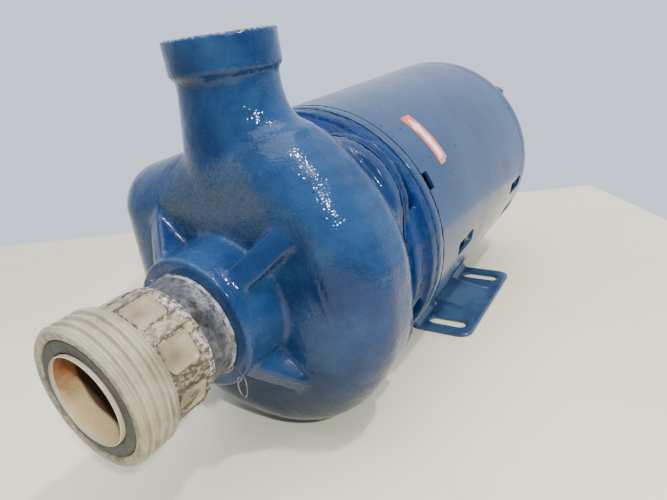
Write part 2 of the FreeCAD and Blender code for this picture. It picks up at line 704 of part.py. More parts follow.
def build():
    os.makedirs("parts", exist_ok=True)
    save("volute_casing", volute_casing())
    save("wear_ring", wear_ring())
    save("casing_gasket", casing_gasket())
    save("adapter_bracket", adapter_bracket())
    save("casing_bolts", casing_bolts())
    save("suction_nipple", suction_nipple())
    save("thread_tape", thread_tape())
    save("union_body", union_body())
    save("union_gasket", union_gasket())
    save("union_sleeve", union_sleeve())
    save("impeller", impeller())
    save("impeller_washer", impeller_washer())
    save("impeller_screw", impeller_screw())
    save("motor_shaft", motor_shaft())
    save("rotor_core", rotor_core())
    save("rotor_fan", rotor_fan())
    save("water_slinger", water_slinger())
    save("seal_seat", seal_seat())
    save("seal_head", seal_head())
    save("seal_spring", seal_spring())
    for end, middle in (("front", FRONT_BEARING), ("rear", REAR_BEARING)):
        save(end + "_bearing_outer_ring", bearing_outer_ring(middle))
        save(end + "_bearing_inner_ring", bearing_inner_ring(middle))
        save(end + "_bearing_balls", bearing_balls(middle))
    save("motor_shell", motor_shell())
    save("drive_end_shield", drive_end_shield())
    save("rear_end_shield", rear_end_shield())
    save("terminal_cover", terminal_cover())
    save("cover_screws", cover_screws())
    save("stator_core", stator_core())
    save("stator_windings", stator_windings())
    save("through_bolts", through_bolts())
    save("through_bolt_nuts", through_bolt_nuts())
    save("wave_washer", wave_washer())
    save("rotation_label", rotation_label())
    save("base_cradle", base_cradle())


build()
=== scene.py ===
import json
import math

import bmesh
import bpy
from mathutils import Matrix, Vector, noise


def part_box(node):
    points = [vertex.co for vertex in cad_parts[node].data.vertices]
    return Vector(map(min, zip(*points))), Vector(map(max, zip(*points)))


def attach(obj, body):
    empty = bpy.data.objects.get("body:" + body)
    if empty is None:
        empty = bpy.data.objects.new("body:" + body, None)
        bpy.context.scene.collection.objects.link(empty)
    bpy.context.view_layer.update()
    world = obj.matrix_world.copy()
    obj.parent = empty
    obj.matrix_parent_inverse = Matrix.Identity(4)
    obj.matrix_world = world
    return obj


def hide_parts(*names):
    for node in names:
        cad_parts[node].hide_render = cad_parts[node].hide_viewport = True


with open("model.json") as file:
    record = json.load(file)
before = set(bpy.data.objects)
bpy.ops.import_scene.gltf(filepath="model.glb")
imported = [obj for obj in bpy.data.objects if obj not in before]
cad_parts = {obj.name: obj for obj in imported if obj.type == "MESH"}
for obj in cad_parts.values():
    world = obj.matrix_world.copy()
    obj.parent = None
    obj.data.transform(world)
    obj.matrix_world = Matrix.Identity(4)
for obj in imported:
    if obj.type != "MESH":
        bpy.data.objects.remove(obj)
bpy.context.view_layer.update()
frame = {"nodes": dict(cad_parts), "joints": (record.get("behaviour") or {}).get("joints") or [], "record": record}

# --- places, all read from the frame ------------------------------------------------------------------
MM = 0.001
TURN = 2 * math.pi


def ends(node):
    """Where the CAD node starts and ends along the shaft."""
    low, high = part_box(node)
    return low.y, high.y


AXIS_Z = frame["joints"][0]["pos_m"][2]
FITTING_FRONT, FITTING_REAR = ends("union_body")
THREAD_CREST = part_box("union_body")[1].x
BOSS_FRONT, CASING_REAR = ends("volute_casing")
COLLAR_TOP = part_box("volute_casing")[1].z
SEAM_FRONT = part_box("motor_shell")[0].y
SHELL_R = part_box("motor_shell")[1].x
DISCHARGE = next(m for m in frame["record"]["mounts"] if m["name"] == "discharge_port")
NECK = Vector(DISCHARGE["pos_m"])
SLOT_OF = {part["node"]: part["material_slot"] for part in frame["record"]["subparts"]}


# --- mesh helpers -------------------------------------------------------------------------------------
def smoothstep(low, high, value):
    """0 at low and 1 at high, easing in and out between them."""
    share = max(0.0, min(1.0, (value - low) / (high - low)))
    return share * share * (3 - 2 * share)


def bell(value, width):
    """1 at zero, falling away smoothly over about that width."""
    return math.exp(-(value / width) ** 2)


def wrapped(angle, period):
    """The angle's distance from the nearest multiple of period, signed."""
    return (angle + period / 2) % period - period / 2


def grain(point, size, seed=0.0):
    """Smooth noise from -1 to 1 whose lumps are about that size."""
    return noise.noise(point / size + Vector((seed, seed, seed)))


def to_object(name, bm):
    """A smooth-shaded object made from the mesh, which is used up."""
    mesh = bpy.data.meshes.new(name)
    bmesh.ops.recalc_face_normals(bm, faces=bm.faces)
    bm.to_mesh(mesh)
    bm.free()
    for polygon in mesh.polygons:
        polygon.use_smooth = True
    made = bpy.data.objects.new(name, mesh)
    bpy.context.scene.collection.objects.link(made)
    return made


def add_loft(bm, rows, closed_rows=True, closed_columns=True):
    """Quads between rows of points. Rows may close on the first, and each row's end on its start."""
    made = [[bm.verts.new(point) for point in row] for row in rows]
    row_pairs = list(zip(made, made[1:])) + ([(made[-1], made[0])] if closed_rows else [])
    for low, high in row_pairs:
        count = len(low)
        for i in range(count if closed_columns else count - 1):
            j = (i + 1) % count
            bm.faces.new((low[i], low[j], high[j], high[i]))
    return made


def round_axis(radius, angle, y):
    """The point at that radius and angle about the shaft axis."""
    return Vector((radius * math.cos(angle), y, AXIS_Z + radius * math.sin(angle)))


def turned(bm, profile, steps=128, shape=None, centre=(0.0, 0.0)):
    """A closed loop of (radius, y) points turned about the shaft's direction, through centre (x, height)."""
    across, height = centre
    rows = []
    for radius, y in profile:
        row = []
        for step in range(steps):
            angle = TURN * step / steps
            reach, along = shape(angle, radius, y) if shape else (radius, y)
            row.append(round_axis(reach, angle, along) + Vector((across, 0.0, height)))
        rows.append(row)
    add_loft(bm, rows)


def arc_points(centre, radius, start, end, steps):
    """(radius, y) points along an arc of the profile, angles in degrees."""
    points = []
    for step in range(steps + 1):
        angle = math.radians(start + (end - start) * step / steps)
        points.append((centre[0] + radius * math.cos(angle), centre[1] + radius * math.sin(angle)))
    return points


def even(start, end, step):
    """Values from start to end, about step apart."""
    count = max(1, round(abs(end - start) / step))
    return [start + (end - start) * i / count for i in range(count + 1)]


def bm_of(node):
    """The CAD node's surface with its doubled corners joined."""
    bm = bmesh.new()
    bm.from_mesh(frame["nodes"][node].data)
    bmesh.ops.remove_doubles(bm, verts=bm.verts, dist=0.002 * MM)
    return bm


def apply_modifiers(made):
    """Gives the object a mesh of its own that its modifiers have shaped, and clears them."""
    bpy.context.view_layer.update()
    graph = bpy.context.evaluated_depsgraph_get()
    mesh = bpy.data.meshes.new_from_object(made.evaluated_get(graph))
    made.modifiers.clear()
    made.data = mesh
    for polygon in mesh.polygons:
        polygon.use_smooth = True


def recast(name, bm, voxel, rounds, skin, softness=None):
    """A solid re-made with rounded corners, as far as softness(point) says, its surface lifted by skin()."""
    made = to_object(name, bm)
    remesh = made.modifiers.new("solid", "REMESH")
    remesh.mode = "VOXEL"
    remesh.voxel_size = voxel
    apply_modifiers(made)
    soften = made.modifiers.new("soften", "SMOOTH")
    if softness:
        group = made.vertex_groups.new(name="soft")
        for vertex in made.data.vertices:
            group.add([vertex.index], softness(vertex.co), "REPLACE")
        soften.vertex_group = "soft"
    soften.factor = 0.5
    soften.iterations = rounds
    apply_modifiers(made)
    lifts = [(v, v.normal * skin(v.co, v.normal)) for v in made.data.vertices]
    for vertex, lift in lifts:
        vertex.co += lift
    return made


def mark(made, name, values):
    """Stores a value from 0 to 1 on each vertex, for the material to read."""
    layer = made.data.attributes.new(name, "FLOAT", "POINT")
    layer.data.foreach_set("value", values)


def place(made, material, node):
    """Rides the piece on the housing in place of its CAD node."""
    made.data.materials.clear()
    made.data.materials.append(material)
    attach(made, "housing")
    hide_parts(node)


# --- materials ----------------------------------------------------------------------------------------
def srgb(red, green, blue):
    """A colour given as 0-255 sRGB, in linear light with full alpha."""
    shares = (red / 255, green / 255, blue / 255)
    linear = [c / 12.92 if c < 0.0404 else ((c + 0.055) / 1.055) ** 2.4 for c in shares]
    return (*linear, 1.0)


class Graph:
    """A material being built, with short helpers for its nodes."""

    def __init__(self, name, **constants):
        self.material = bpy.data.materials.new(name)
        self.material.use_nodes = True
        self.nodes = self.material.node_tree.nodes
        self.links = self.material.node_tree.links
        self.shader = self.nodes["Principled BSDF"]
        self.coords = self.nodes.new("ShaderNodeTexCoord").outputs["Object"]
        for socket, value in constants.items():
            self.shader.inputs[socket.replace("_", " ")].default_value = value

    def feed(self, socket, value):
        """Links another node's socket, or sets a plain value."""
        if isinstance(value, bpy.types.NodeSocket):
            self.links.new(value, socket)
        else:
            socket.default_value = value

    def node(self, kind, inputs, **settings):
        made = self.nodes.new("ShaderNode" + kind)
        for setting, value in settings.items():
            setattr(made, setting, value)
        for socket, value in inputs.items():
            self.feed(made.inputs[socket], value)
        return made

    def stretched(self, scale):
        return self.node("Mapping", {"Vector": self.coords, "Scale": scale}).outputs["Vector"]

    def noise(self, scale, detail=3.0, rough=0.5, distort=0.0, where=None):
        return self.node("TexNoise", {
            "Vector": where or self.coords, "Scale": scale, "Detail": detail,
            "Roughness": rough, "Distortion": distort}).outputs["Fac"]

    def cells(self, scale, feature="F1", where=None):
        return self.node("TexVoronoi", {"Vector": where or self.coords, "Scale": scale},
                         feature=feature).outputs["Distance"]

    def ramp(self, value, low, high, to_low=0.0, to_high=1.0):
        return self.node("MapRange", {
            "Value": value, "From Min": low, "From Max": high, "To Min": to_low, "To Max": to_high},
            interpolation_type="SMOOTHSTEP").outputs["Result"]

    def calc(self, operation, *values):
        return self.node("Math", dict(enumerate(values)), operation=operation, use_clamp=False).outputs[0]

    def times(self, *values):
        result = values[0]
        for value in values[1:]:
            result = self.calc("MULTIPLY", result, value)
        return result

    def plus(self, *values):
        result = values[0]
        for value in values[1:]:
            result = self.calc("ADD", result, value)
        return result

    def mix(self, share, first, second):
        return self.node("Mix", {0: share, 6: first, 7: second}, data_type="RGBA").outputs[2]

    def attribute(self, name):
        return self.node("Attribute", {}, attribute_name=name).outputs["Fac"]

    def pointiness(self):
        return self.node("NewGeometry", {}).outputs["Pointiness"]

    def axis(self, index):
        return self.node("SeparateXYZ", {"Vector": self.coords}).outputs[index]

    def near(self, point, inner, outer):
        """1 within inner of the point, falling to 0 at outer."""
        away = self.node("VectorMath", {0: self.coords, 1: point}, operation="DISTANCE").outputs["Value"]
        return self.ramp(away, inner, outer, 1.0, 0.0)

    def bump(self, height, distance, strength=1.0, under=None):
        inputs = {"Height": height, "Distance": distance, "Strength": strength}
        if under:
            inputs["Normal"] = under
        return self.node("Bump", inputs).outputs["Normal"]

    def done(self, colour, roughness, normal, metallic=None):
        self.feed(self.shader.inputs["Base Color"], colour)
        self.feed(self.shader.inputs["Roughness"], roughness)
        self.feed(self.shader.inputs["Normal"], normal)
        if metallic is not None:
            self.feed(self.shader.inputs["Metallic"], metallic)
        return self.material


DUST = srgb(176, 182, 186)
CHIP_AND_SHADE = srgb(18, 22, 30)


def casing_wear_and_sheen(g, colour, patch):
    """The casing's own marks with painted light: dusty overspray whose grey is partly a painted reflection, darker
    towards the bottom, bare specks on the rim, a cracked rear edge.
    """
    grit = g.ramp(g.noise(700.0, 2.0), 0.42, 0.52, 0.25, 0.9)
    # painted reflection: the grainy grey of the dry-spray patch stands in for the room reflected in the face
    colour = g.mix(g.times(patch, grit), colour, srgb(60, 78, 100))
    # the casing is darkened smoothly towards the bottom
    colour = g.mix(g.ramp(g.axis(2), 14 * MM, 78 * MM, 0.7, 0.0), colour, srgb(24, 36, 42))
    at_rim = g.ramp(g.axis(2), COLLAR_TOP - 1.4 * MM, COLLAR_TOP - 0.3 * MM)
    bare = g.times(at_rim, g.ramp(g.noise(420.0, 3.0, 0.6), 0.5, 0.58))
    colour = g.mix(g.times(bare, 0.8), colour, srgb(150, 160, 164))
    from_edge = g.calc("ABSOLUTE", g.calc("SUBTRACT", g.axis(1), CASING_REAR - 4 * MM))
    at_edge = g.ramp(from_edge, 0.5 * MM, 3 * MM, 1.0, 0.0)
    low_down = g.ramp(g.axis(2), 60 * MM, 80 * MM, 1.0, 0.0)
    broken = g.ramp(g.noise(150.0, 4.0, 0.7, where=g.stretched((1.0, 1.0, 0.4))), 0.53, 0.56)
    return g.mix(g.times(at_edge, low_down, broken), colour, CHIP_AND_SHADE)


def enamel(name, thin, full, gloss, peel, lumps, chips=0.72, haze_and_reflection=None, shine=0.42):
    """Glossy brushed-on enamel: uneven film, painted shade darkening the hollows, dust, chips and a pebbled skin.
    """
    g = Graph(name, IOR=1.5, Specular_IOR_Level=shine, Coat_Weight=shine / 2, Coat_Roughness=0.06)
    film = g.ramp(g.noise(26.0, 4.0, 0.6, 0.4), 0.36, 0.66)
    colour = g.mix(film, full, thin)
    brushed = g.noise(90.0, 3.0, 0.6, where=g.stretched((1.0, 0.35, 2.2)))
    colour = g.mix(g.ramp(brushed, 0.42, 0.74, 0.0, 0.35), colour, full)
    point = g.pointiness()
    # painted shade: the hollows, found by low pointiness, are darkened toward near-black
    colour = g.mix(g.ramp(point, 0.40, 0.49, 0.55, 0.0), colour, CHIP_AND_SHADE)
    colour = g.mix(g.ramp(point, 0.53, 0.62, 0.0, 0.3), colour, thin)
    rough = g.ramp(g.noise(44.0, 4.0, 0.65), 0.5, 0.8, gloss, gloss + 0.2)
    if haze_and_reflection:
        # the patch is rougher dry overspray, and its grey colour is partly a painted reflection
        patch = g.ramp(g.plus(haze_and_reflection(g), g.times(g.noise(55.0, 5.0, 0.65), 1.6)), 1.2, 1.42)
        colour = casing_wear_and_sheen(g, colour, patch)
        rough = g.plus(rough, g.times(patch, 0.22))
    specks = g.times(g.ramp(g.cells(640.0), 0.08, 0.14, 1.0, 0.0), g.ramp(g.noise(34.0, 2.0), 0.6, 0.68))
    colour = g.mix(g.times(specks, 0.35), colour, DUST)
    flakes = g.ramp(g.noise(210.0, 3.0, 0.55), chips, chips + 0.02)
    colour = g.mix(g.times(flakes, 0.85), colour, CHIP_AND_SHADE)
    fine = g.bump(g.noise(660.0, 1.0, 0.6), 0.5 * MM, peel)
    coarse = g.bump(g.noise(120.0, 4.0, 0.55), 1.2 * MM, lumps, fine)
    return g.done(colour, rough, g.bump(flakes, -0.25 * MM, 0.7, coarse))


def shell_enamel():
    """The same enamel over smooth rolled steel: wiped, specked and pitted, cracked along the front seam."""
    g = Graph("shell_enamel", IOR=1.5, Specular_IOR_Level=0.4, Coat_Weight=0.18, Coat_Roughness=0.1)
    film = g.ramp(g.noise(11.0, 4.0, 0.6, 0.6), 0.34, 0.7)
    colour = g.mix(film, srgb(26, 56, 94), srgb(40, 70, 103))
    wiped = g.noise(30.0, 3.0, 0.6, where=g.stretched((1.0, 0.25, 1.6)))
    colour = g.mix(g.ramp(wiped, 0.45, 0.75, 0.0, 0.45), colour, srgb(34, 62, 106))
    crack = g.calc("ABSOLUTE", g.calc("SUBTRACT", g.axis(1), SEAM_FRONT))
    ragged = g.ramp(g.noise(150.0, 4.0, 0.7), 0.42, 0.66, 0.0, 1.5 * MM)
    below = g.ramp(g.axis(2), AXIS_Z + 20 * MM, AXIS_Z + 42 * MM, 1.0, 0.0)
    split = g.times(below, g.calc("LESS_THAN", crack, ragged))
    colour = g.mix(g.times(split, 0.9), colour, CHIP_AND_SHADE)
    specks = g.times(g.ramp(g.cells(330.0), 0.07, 0.12, 1.0, 0.0), g.ramp(g.noise(24.0, 2.0), 0.5, 0.6))
    colour = g.mix(g.times(specks, 0.6), colour, DUST)
    pits = g.times(g.ramp(g.cells(80.0), 0.09, 0.11, 1.0, 0.0), g.ramp(g.noise(16.0, 2.0), 0.47, 0.52))
    colour = g.mix(g.times(pits, 0.85), colour, CHIP_AND_SHADE)
    rough = g.ramp(g.noise(26.0, 4.0, 0.6), 0.4, 0.75, 0.16, 0.34)
    fine = g.bump(g.noise(520.0, 2.0), 0.25 * MM, 0.22)
    wave = g.bump(g.noise(60.0, 3.0), 0.9 * MM, 0.16, fine)
    return g.done(colour, rough, g.bump(g.plus(split, pits), -0.3 * MM, 0.6, wave))


def metal(name, light, dark, gloss, spread, scale, stretch=(1.0, 1.0, 1.0), bite=0.25, rust=0.0,
          metallic=1.0):
    """Bare metal, brushed, turned or cast by its grain's scale and stretch, with stains and maybe rust."""
    g = Graph(name, Metallic=metallic)
    streak = g.noise(scale, 4.0, 0.6, where=g.stretched(stretch))
    colour = g.mix(g.ramp(streak, 0.3, 0.7), dark, light)
    stain = g.ramp(g.noise(scale / 14, 4.0, 0.65), 0.5, 0.78, 0.0, 0.6)
    colour = g.mix(stain, colour, dark)
    if rust:
        patch = g.ramp(g.noise(scale / 8, 5.0, 0.7), 0.62 - rust, 0.7)
        colour = g.mix(patch, colour, srgb(96, 52, 26))
    rough = g.ramp(g.noise(scale / 5, 3.0), 0.35, 0.75, gloss, gloss + spread)
    return g.done(colour, rough, g.bump(streak, 0.15 * MM, bite))


def matte(name, light, dark, roughness, scale, bite=0.3, **constants):
    """A matte moulded or pressed material with mottling and a fine skin."""
    g = Graph(name, **constants)
    colour = g.mix(g.ramp(g.noise(scale, 5.0, 0.65), 0.32, 0.7), dark, light)
    worn = g.ramp(g.noise(scale * 4, 3.0), 0.3, 0.75, roughness - 0.1, roughness + 0.1)
    return g.done(colour, worn, g.bump(g.noise(scale * 9, 3.0), 0.12 * MM, bite))


def union_plastic():
    """Weathered cream plastic: grime held in grooves and on the grip, scuffs, a few dark nicks, and a painted
    highlight on the tail ring.
    """
    g = Graph("union_plastic", Subsurface_Weight=0.04, Subsurface_Radius=(0.9 * MM, 0.8 * MM, 0.6 * MM),
              Specular_IOR_Level=0.45)
    colour = g.mix(g.ramp(g.noise(55.0, 4.0, 0.6), 0.3, 0.7), srgb(136, 128, 104), srgb(176, 169, 146))
    yellow = g.ramp(g.noise(20.0, 3.0), 0.45, 0.7, 0.0, 0.6)
    colour = g.mix(yellow, colour, srgb(172, 154, 116))
    stain = g.times(g.attribute("stained"), g.ramp(g.noise(130.0, 3.0), 0.25, 0.6, 0.5, 0.85))
    colour = g.mix(stain, colour, srgb(108, 88, 60))
    frayed = g.ramp(g.noise(200.0, 4.0, 0.7, 0.6, g.stretched((0.45, 2.2, 0.45))), 0.47, 0.58)
    # painted highlight: a pale lavender band on the tail ring, broken up by noise
    colour = g.mix(g.times(g.attribute("tail_highlight"), frayed, 0.85), colour, srgb(214, 206, 220))
    grime = g.attribute("grime")
    broken = g.ramp(g.noise(480.0, 5.0, 0.7, 0.4, g.stretched((1.0, 0.55, 1.0))), 0.44, 0.6)
    veins = g.noise(150.0, 3.0, 0.6, 0.3, g.stretched((1.0, 0.3, 1.0)))
    cracked = g.ramp(g.calc("ABSOLUTE", g.calc("SUBTRACT", veins, 0.5)), 0.0, 0.022, 1.0, 0.0)
    soil = g.times(grime, g.plus(g.times(g.calc("MAXIMUM", broken, cracked), 0.8), 0.2))
    colour = g.mix(g.ramp(soil, 0.05, 0.55, 0.0, 0.94), colour, srgb(70, 60, 43))
    black = g.times(grime, g.ramp(g.noise(520.0, 4.0, 0.7, 0.8, g.stretched((1.0, 0.4, 1.0))), 0.56, 0.62))
    colour = g.mix(g.times(black, 0.8), colour, srgb(36, 32, 28))
    nicks = g.ramp(g.noise(420.0, 3.0, 0.6, where=g.stretched((1.0, 0.5, 1.0))), 0.72, 0.75)
    colour = g.mix(g.times(nicks, 0.75), colour, srgb(52, 46, 40))
    rough = g.plus(g.ramp(g.noise(120.0, 3.0), 0.3, 0.7, 0.3, 0.48), g.times(soil, 0.35))
    skin = g.bump(g.noise(700.0, 3.0), 0.15 * MM, 0.3)
    return g.done(colour, rough, g.bump(g.calc("SUBTRACT", soil, nicks), 0.3 * MM, 0.5, skin))


def sleeve_plastic():
    """Cream liner, scorched rust-brown at the top of the bore, with painted shade deep inside."""
    g = Graph("sleeve_plastic", Specular_IOR_Level=0.5)
    colour = g.mix(g.ramp(g.noise(70.0, 4.0, 0.6), 0.3, 0.7), srgb(196, 168, 120), srgb(214, 190, 146))
    rim = g.ramp(g.axis(1), FITTING_FRONT + 0.2 * MM, FITTING_FRONT + 0.7 * MM)
    high = g.ramp(g.plus(g.axis(2), g.times(g.noise(90.0, 4.0, 0.7), 22 * MM)),
                  AXIS_Z + 2 * MM, AXIS_Z + 18 * MM)
    colour = g.mix(g.times(high, rim, 0.9), colour, srgb(146, 82, 46))
    scorched = g.ramp(g.plus(g.axis(2), g.times(g.noise(120.0, 4.0, 0.7), 20 * MM)),
                      AXIS_Z + 16 * MM, AXIS_Z + 26 * MM)
    colour = g.mix(g.times(scorched, rim, 0.8), colour, srgb(92, 46, 24))
    colour = g.mix(g.calc("SUBTRACT", 1.0, rim), colour, srgb(192, 182, 160))
    # painted shade: the bore darkens to deep brown beyond this depth
    deep = g.ramp(g.plus(g.axis(1), g.times(g.noise(70.0, 4.0), 3 * MM)),
                  FITTING_FRONT + 10.8 * MM, FITTING_FRONT + 12.6 * MM)
    colour = g.mix(g.times(deep, 0.92), colour, srgb(60, 32, 20))
    specks = g.ramp(g.cells(260.0), 0.07, 0.12, 1.0, 0.0)
    colour = g.mix(g.times(specks, g.ramp(g.noise(40.0), 0.5, 0.6), 0.8), colour, srgb(70, 46, 30))
    rough = g.ramp(g.noise(90.0), 0.3, 0.7, 0.2, 0.4)
    return g.done(colour, rough, g.bump(g.noise(260.0, 3.0), 0.2 * MM, 0.25))


def galvanised():
    """Grey galvanised iron with a dirty sheen, a smear of blue paint and chalky tape residue."""
    g = Graph("galvanised", Metallic=0.55)
    colour = g.mix(g.ramp(g.noise(150.0, 5.0, 0.7, 0.5), 0.3, 0.7), srgb(54, 56, 60), srgb(116, 118, 122))
    colour = g.mix(g.ramp(g.noise(60.0, 4.0, 0.7), 0.5, 0.66), colour, srgb(56, 50, 42))
    blue = g.ramp(g.noise(38.0, 4.0, 0.6, 0.4), 0.56, 0.6)
    colour = g.mix(g.times(blue, 0.9), colour, srgb(34, 88, 140))
    chalk = g.times(g.attribute("chalk"), g.ramp(g.noise(300.0, 5.0, 0.75, 1.0), 0.4, 0.6))
    colour = g.mix(chalk, colour, srgb(170, 170, 170))
    rough = g.ramp(g.noise(110.0, 4.0), 0.3, 0.7, 0.26, 0.55)
    return g.done(colour, rough, g.bump(g.noise(420.0, 4.0, 0.65), 0.35 * MM, 0.55))


def tape():
    """Shredded thread-seal tape: translucent white film, soiled where it is caught."""
    g = Graph("tape", Subsurface_Weight=0.2, Subsurface_Radius=(0.6 * MM, 0.6 * MM, 0.6 * MM))
    colour = g.mix(g.ramp(g.noise(240.0, 5.0, 0.7, 0.8), 0.36, 0.66), srgb(74, 72, 70), srgb(172, 172, 178))
    rough = g.ramp(g.noise(400.0), 0.3, 0.7, 0.35, 0.6)
    return g.done(colour, rough, g.bump(g.noise(900.0, 3.0), 0.15 * MM, 0.5))


def label_film():
    """Printed film: a pale arrow on orange-red, its ink scuffed and its low end worn away."""
    g = Graph("label_film", Coat_Weight=0.3, Coat_Roughness=0.2)
    ink = g.ramp(g.plus(g.attribute("ink"), g.times(g.noise(500.0, 3.0), 0.3)), 0.58, 0.72)
    red = g.mix(g.ramp(g.noise(220.0, 4.0), 0.3, 0.7), srgb(206, 72, 46), srgb(226, 104, 72))
    pale = g.mix(g.ramp(g.noise(160.0, 4.0), 0.3, 0.7), srgb(214, 206, 202), srgb(238, 236, 232))
    colour = g.mix(ink, red, pale)
    worn = g.times(g.attribute("worn"), g.ramp(g.noise(420.0, 4.0, 0.7), 0.4, 0.55))
    colour = g.mix(worn, colour, srgb(178, 160, 152))
    return g.done(colour, g.ramp(worn, 0.0, 1.0, 0.3, 0.6), g.bump(g.noise(700.0, 3.0), 0.08 * MM, 0.3))


def dry_spray_and_reflection(g):
    """The patch of dry overspray on the casing's flat front face, above the suction boss; its grey colour is
    partly a painted reflection of the bright room.
    """
    face = BOSS_FRONT + 27 * MM
    right = g.near((16 * MM, face, AXIS_Z + 56 * MM), 4 * MM, 36 * MM)
    left = g.near((-14 * MM, face, AXIS_Z + 54 * MM), 4 * MM, 36 * MM)
    return g.calc("MAXIMUM", right, left)


MATERIALS = {
    "casing_enamel": enamel("casing_enamel", srgb(37, 70, 111), srgb(20, 47, 87), 0.05, 0.55, 0.12,
                            haze_and_reflection=dry_spray_and_reflection, shine=0.24),
    "adapter_enamel": enamel("adapter_enamel", srgb(12, 50, 100), srgb(8, 36, 78), 0.2, 0.7, 0.3, 0.8,
                             shine=0.12),
    "shell_enamel": shell_enamel(),
    "base_enamel": enamel("base_enamel", srgb(56, 82, 112), srgb(34, 58, 92), 0.14, 0.2, 0.1),
    "steel": metal("steel", srgb(190, 192, 196), srgb(120, 122, 126), 0.28, 0.2, 420.0, rust=0.08),
    "bearing_steel": metal("bearing_steel", srgb(212, 214, 218), srgb(168, 170, 174), 0.14, 0.12, 600.0),
    "rotor_steel": metal("rotor_steel", srgb(150, 152, 156), srgb(84, 86, 90), 0.34, 0.2, 260.0,
                         (0.2, 9.0, 0.2), 0.6),
    "galvanised": galvanised(),
    "cast_iron": metal("cast_iron", srgb(112, 106, 100), srgb(62, 56, 52), 0.5, 0.25, 320.0, bite=0.8,
                       rust=0.12, metallic=0.75),
    "bronze": metal("bronze", srgb(206, 164, 98), srgb(150, 108, 58), 0.25, 0.15, 500.0, (0.3, 4.0, 0.3)),
    "fan_aluminium": metal("fan_aluminium", srgb(206, 208, 210), srgb(160, 162, 166), 0.36, 0.2, 260.0,
                           bite=0.5),
    "winding_copper": metal("winding_copper", srgb(176, 96, 48), srgb(96, 44, 20), 0.3, 0.15, 340.0,
                            (1.0, 0.4, 1.0), 0.9, metallic=0.4),
    "rubber": matte("rubber", srgb(70, 73, 66), srgb(46, 49, 44), 0.6, 180.0),
    "gasket_fibre": matte("gasket_fibre", srgb(20, 56, 104), srgb(12, 38, 80), 0.4, 320.0, 0.6),
    "seal_ceramic": matte("seal_ceramic", srgb(228, 224, 214), srgb(206, 200, 186), 0.3, 120.0, 0.1),
    "seal_carbon": matte("seal_carbon", srgb(44, 44, 47), srgb(26, 26, 28), 0.4, 260.0, 0.2),
    "tape": tape(),
    "union_plastic": union_plastic(),
    "sleeve_plastic": sleeve_plastic(),
    "label_film": label_film(),
}
for name, node in frame["nodes"].items():
    node.data.materials.clear()
    node.data.materials.append(MATERIALS[SLOT_OF[name]])


# --- castings -----------------------------------------------------------------------------------------
# runs of paint: where the first is about the axis, how they lean, and each one's shift, reach and width
SAG_X, SAG_Z, SAG_LEAN, SAG_PIVOT = 61 * MM, 9 * MM, 0.25, 8 * MM
SAGS = ((0 * MM, 15 * MM, 1.6 * MM), (5 * MM, 12 * MM, 1.3 * MM), (10 * MM, 9 * MM, 1.5 * MM))
# the neck's swell: heights where it begins, is widest and is closed off, then its width and radii
SWELL_TOP, SWELL_FULL, SWELL_BASE = 200 * MM, 172 * MM, 164 * MM
SWELL_OUT, SWELL_WALL, SWELL_INSIDE = 18 * MM, 25.6 * MM, 22.5 * MM
COLLAR_FOOT = COLLAR_TOP - 18 * MM
REAR_EDGE = CASING_REAR - 1.5 * MM
# how much of the smoothing each of these is spared
CRISP_EDGE, CRISP_COLLAR = 0.9, 0.75


def paint_sags(local):
    """How thick the runs of paint low on the casing's right side are; local is a point about the axis."""
    thickness = 0.0
    for shift, reach, width in SAGS:
        across = local.x - (SAG_X + shift) + SAG_LEAN * (local.z - SAG_PIVOT)
        along = local.z - (SAG_Z - shift * 0.6)
        thickness += 0.5 * MM * bell(across, width) * bell(along, reach)
    return thickness


def casing_skin(point, normal):
    """How far the casing's skin stands off: foundry lumps, a ragged collar rim and sags in the paint."""
    lift = 0.22 * MM * grain(point, 9 * MM) + 0.10 * MM * grain(point, 3.5 * MM, 7.0) - 0.12 * MM
    rim = smoothstep(COLLAR_TOP - 3 * MM, COLLAR_TOP, point.z)
    lift += rim * 0.45 * MM * (grain(point, 1.8 * MM, 3.0) - 0.3)
    if normal.y < -0.1:
        lift += paint_sags(point - Vector((0.0, 0.0, AXIS_Z)))
    return lift


def neck_swell(bm):
    """The swelling that carries the neck's right side down and out into the scroll."""
    steps, sides = 10, 96
    sections = []
    for step in range(steps + 1):
        share = step / steps
        height = SWELL_TOP - (SWELL_TOP - SWELL_FULL) * share
        sections.append((height, SWELL_WALL, SWELL_OUT * (1 - math.sqrt(1 - share * share))))
    sections += [(SWELL_BASE, SWELL_WALL, SWELL_OUT), (SWELL_BASE, SWELL_INSIDE, 0.0),
                 (SWELL_TOP, SWELL_INSIDE, 0.0)]
    rows = []
    for height, radius, swell in sections:
        row = []
        for side in range(sides):
            angle = TURN * side / sides
            reach = radius + swell * max(0.0, math.cos(angle)) ** 4
            row.append(Vector((NECK.x + reach * math.cos(angle), NECK.y + reach * math.sin(angle), height)))
        rows.append(row)
    add_loft(bm, rows)


def casing_softness(point):
    """1 where corners may round off freely, less on the collar and least at the scroll's rear edge."""
    collar = smoothstep(COLLAR_FOOT, COLLAR_FOOT + 3 * MM, point.z)
    return 1.0 - max(CRISP_EDGE * bell(point.y - REAR_EDGE, 3.5 * MM), CRISP_COLLAR * collar)


def volute():
    """The casing re-made as one casting, rounded all over but for the scroll's rear edge and the collar."""
    bm = bm_of("volute_casing")
    neck_swell(bm)
    made = recast("volute_casting", bm, voxel=1.3 * MM, rounds=10, skin=casing_skin,
                  softness=casing_softness)
    place(made, MATERIALS["casing_enamel"], "volute_casing")


def adapter_skin(point, normal):
    """A coarser foundry skin than the casing's."""
    return 0.35 * MM * grain(point, 4.5 * MM) + 0.2 * MM * grain(point, 2.0 * MM, 5.0) - 0.3 * MM


def adapter():
    made = recast("adapter_casting", bm_of("adapter_bracket"), voxel=1.2 * MM, rounds=8,
                  skin=adapter_skin)
    place(made, MATERIALS["adapter_enamel"], "adapter_bracket")


